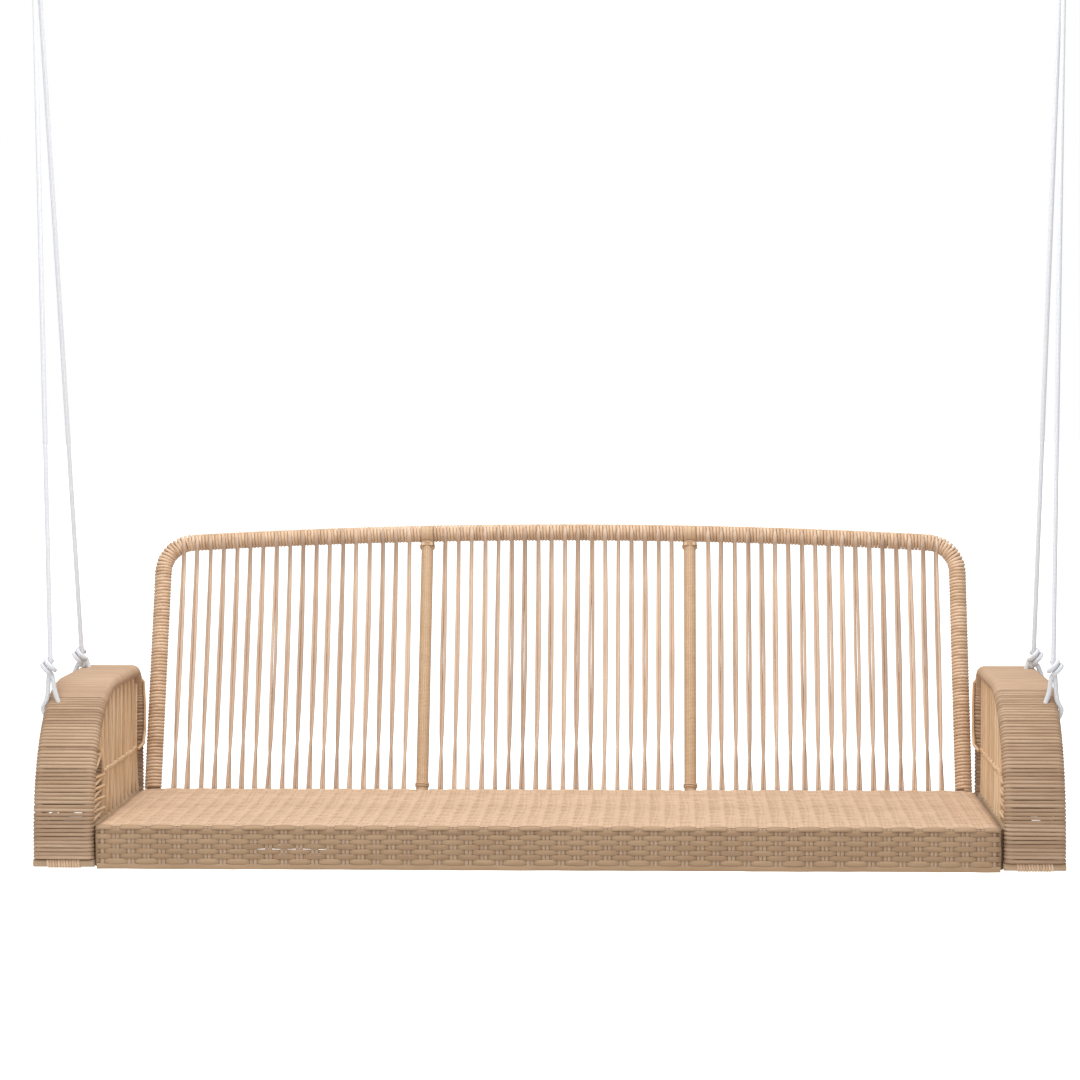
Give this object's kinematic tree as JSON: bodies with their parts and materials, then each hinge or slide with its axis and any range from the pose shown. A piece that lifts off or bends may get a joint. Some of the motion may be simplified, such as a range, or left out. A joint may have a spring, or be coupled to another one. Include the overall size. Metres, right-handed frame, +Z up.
{
  "type": "porch swing seat",
  "caption": "Hanging porch swing seat: woven seat and apron, laced reclined back, bowed wound arms, hung from ropes and snap hooks.",
  "frame": {"origin": "on the swing axis, over the middle of the seat: the line through the two rope eyes", "axes": "+X along the seat to its right-hand end as seen from the front, +Y to the rear, +Z up; the seat faces -Y, and left and right in names are as seen from the front"},
  "size_m": [2.2144, 0.7655, 2.1655],
  "materials": {
    "steel_tube": "powder coated, semi-matt, sand",
    "flat_wicker": "flat PE wicker, woven over and under, sand",
    "wound_cord": "round PE rattan cord, closely wound, sand",
    "lacing_cord": "round PE rattan cord, laced in upright pairs, sand",
    "rope": "white braided polyester rope",
    "zinc": "zinc plated steel"
  },
  "bodies": {
    "hooks": {"snap_hook_left": "zinc", "snap_hook_right": "zinc"},
    "swing": {"seat_front_rail": "steel_tube", "seat_rear_rail": "steel_tube", "seat_side_rail_left": "steel_tube", "seat_side_rail_right": "steel_tube", "seat_slat_1": "steel_tube", "seat_slat_2": "steel_tube", "seat_slat_3": "steel_tube", "apron_hoop": "steel_tube", "seat_weave": "flat_wicker", "apron_weave": "flat_wicker", "back_frame_tube": "steel_tube", "back_frame_wrap": "wound_cord", "back_lower_rail": "steel_tube", "back_mid_post_left": "steel_tube", "back_mid_wrap_left": "wound_cord", "back_mid_post_right": "steel_tube", "back_mid_wrap_right": "wound_cord", "back_strands_left": "lacing_cord", "back_strands_centre": "lacing_cord", "back_strands_right": "lacing_cord", "arm_bolt_left_front": "zinc", "arm_bolt_left_rear": "zinc", "arm_bolt_right_front": "zinc", "arm_bolt_right_rear": "zinc", "back_bolt_1": "zinc", "back_bolt_2": "zinc", "back_bolt_3": "zinc", "back_bolt_4": "zinc", "arm_left_wrap": "wound_cord", "arm_left_inner_hoop": "steel_tube", "arm_left_inner_sill": "steel_tube", "arm_left_inner_lacing": "lacing_cord", "arm_left_outer_hoop": "steel_tube", "arm_left_outer_sill": "steel_tube", "arm_left_outer_lacing": "lacing_cord", "arm_left_front_foot": "wound_cord", "arm_left_rear_foot": "wound_cord", "rope_left_front": "rope", "rope_hitch_left_front": "rope", "rope_left_rear": "rope", "rope_hitch_left_rear": "rope", "rope_eye_left": "rope", "arm_right_wrap": "wound_cord", "arm_right_inner_hoop": "steel_tube", "arm_right_inner_sill": "steel_tube", "arm_right_inner_lacing": "lacing_cord", "arm_right_outer_hoop": "steel_tube", "arm_right_outer_sill": "steel_tube", "arm_right_outer_lacing": "lacing_cord", "arm_right_front_foot": "wound_cord", "arm_right_rear_foot": "wound_cord", "rope_right_front": "rope", "rope_hitch_right_front": "rope", "rope_right_rear": "rope", "rope_hitch_right_rear": "rope", "rope_eye_right": "rope"},
    "gate_left": {"snap_hook_gate_left": "zinc"},
    "gate_right": {"snap_hook_gate_right": "zinc"}
  },
  "joints": [
    {"name": "seat_swing", "type": "hinge", "parent": "hooks", "child": "swing", "pos_m": [0, 0, 0], "axis": [1, 0, 0], "range_deg": [-25, 25]},
    {"name": "gate_left_open", "type": "hinge", "parent": "hooks", "child": "gate_left", "pos_m": [-1.082, 0, 0.0215], "axis": [0, -1, 0], "range_deg": [0, 22], "stiffness_Nm_per_rad": 0.08},
    {"name": "gate_right_open", "type": "hinge", "parent": "hooks", "child": "gate_right", "pos_m": [1.057, 0, 0.0215], "axis": [0, 1, 0], "range_deg": [0, 22], "stiffness_Nm_per_rad": 0.08}
  ]
}
